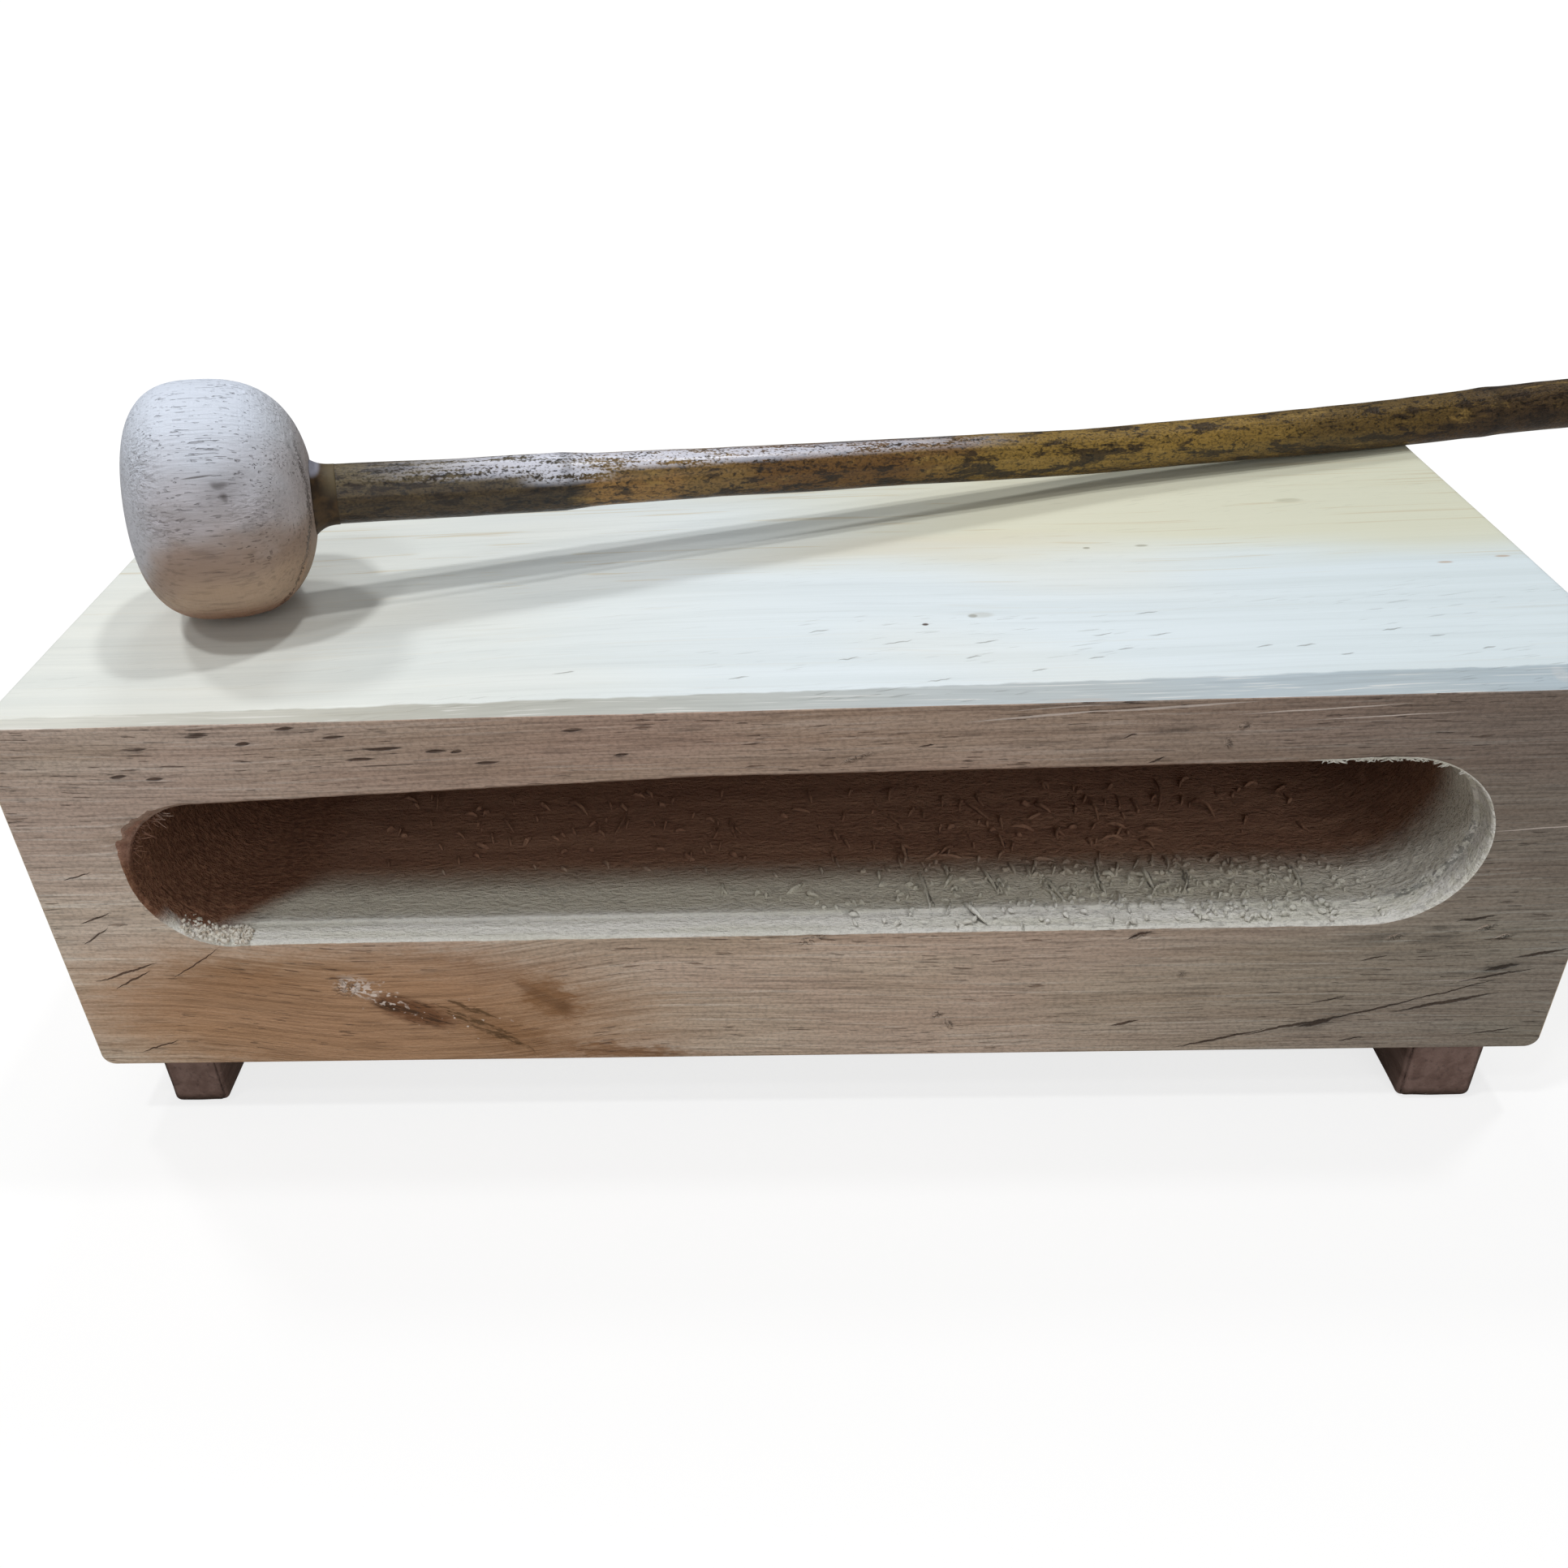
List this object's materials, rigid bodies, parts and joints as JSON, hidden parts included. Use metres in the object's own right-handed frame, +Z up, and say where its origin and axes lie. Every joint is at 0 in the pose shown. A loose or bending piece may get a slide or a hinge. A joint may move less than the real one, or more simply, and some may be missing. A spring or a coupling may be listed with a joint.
{
  "type": "woodblock",
  "caption": "Slotted wooden sound block on runners, with a turned-head cane mallet lying across its top.",
  "frame": {"origin": "middle of the whole part's box, mallet included, on the surface that the runners stand on", "axes": "+X along the block, from the mallet's head towards its handle; -Y out of the slot, towards the player; +Z up"},
  "size_m": [0.2562, 0.095, 0.0981],
  "materials": {
    "block_wood": "planed and lightly sanded, bare",
    "runner_wood": "sawn, darker, bare",
    "head_wood": "turned, bare, open pores",
    "cane": "natural cane, mottled, glossy varnish",
    "glue": "dried clear glue, glossy"
  },
  "bodies": {
    "block": {"block": "block_wood", "runner_left": "runner_wood", "runner_right": "runner_wood"},
    "mallet": {"mallet_head": "head_wood", "mallet_handle": "cane", "mallet_glue": "glue"}
  },
  "joints": [
    {"name": "mallet_lift", "type": "slide", "parent": "block", "child": "mallet", "axis": [0, 0, 1], "range_m": [0, 0.12]}
  ]
}
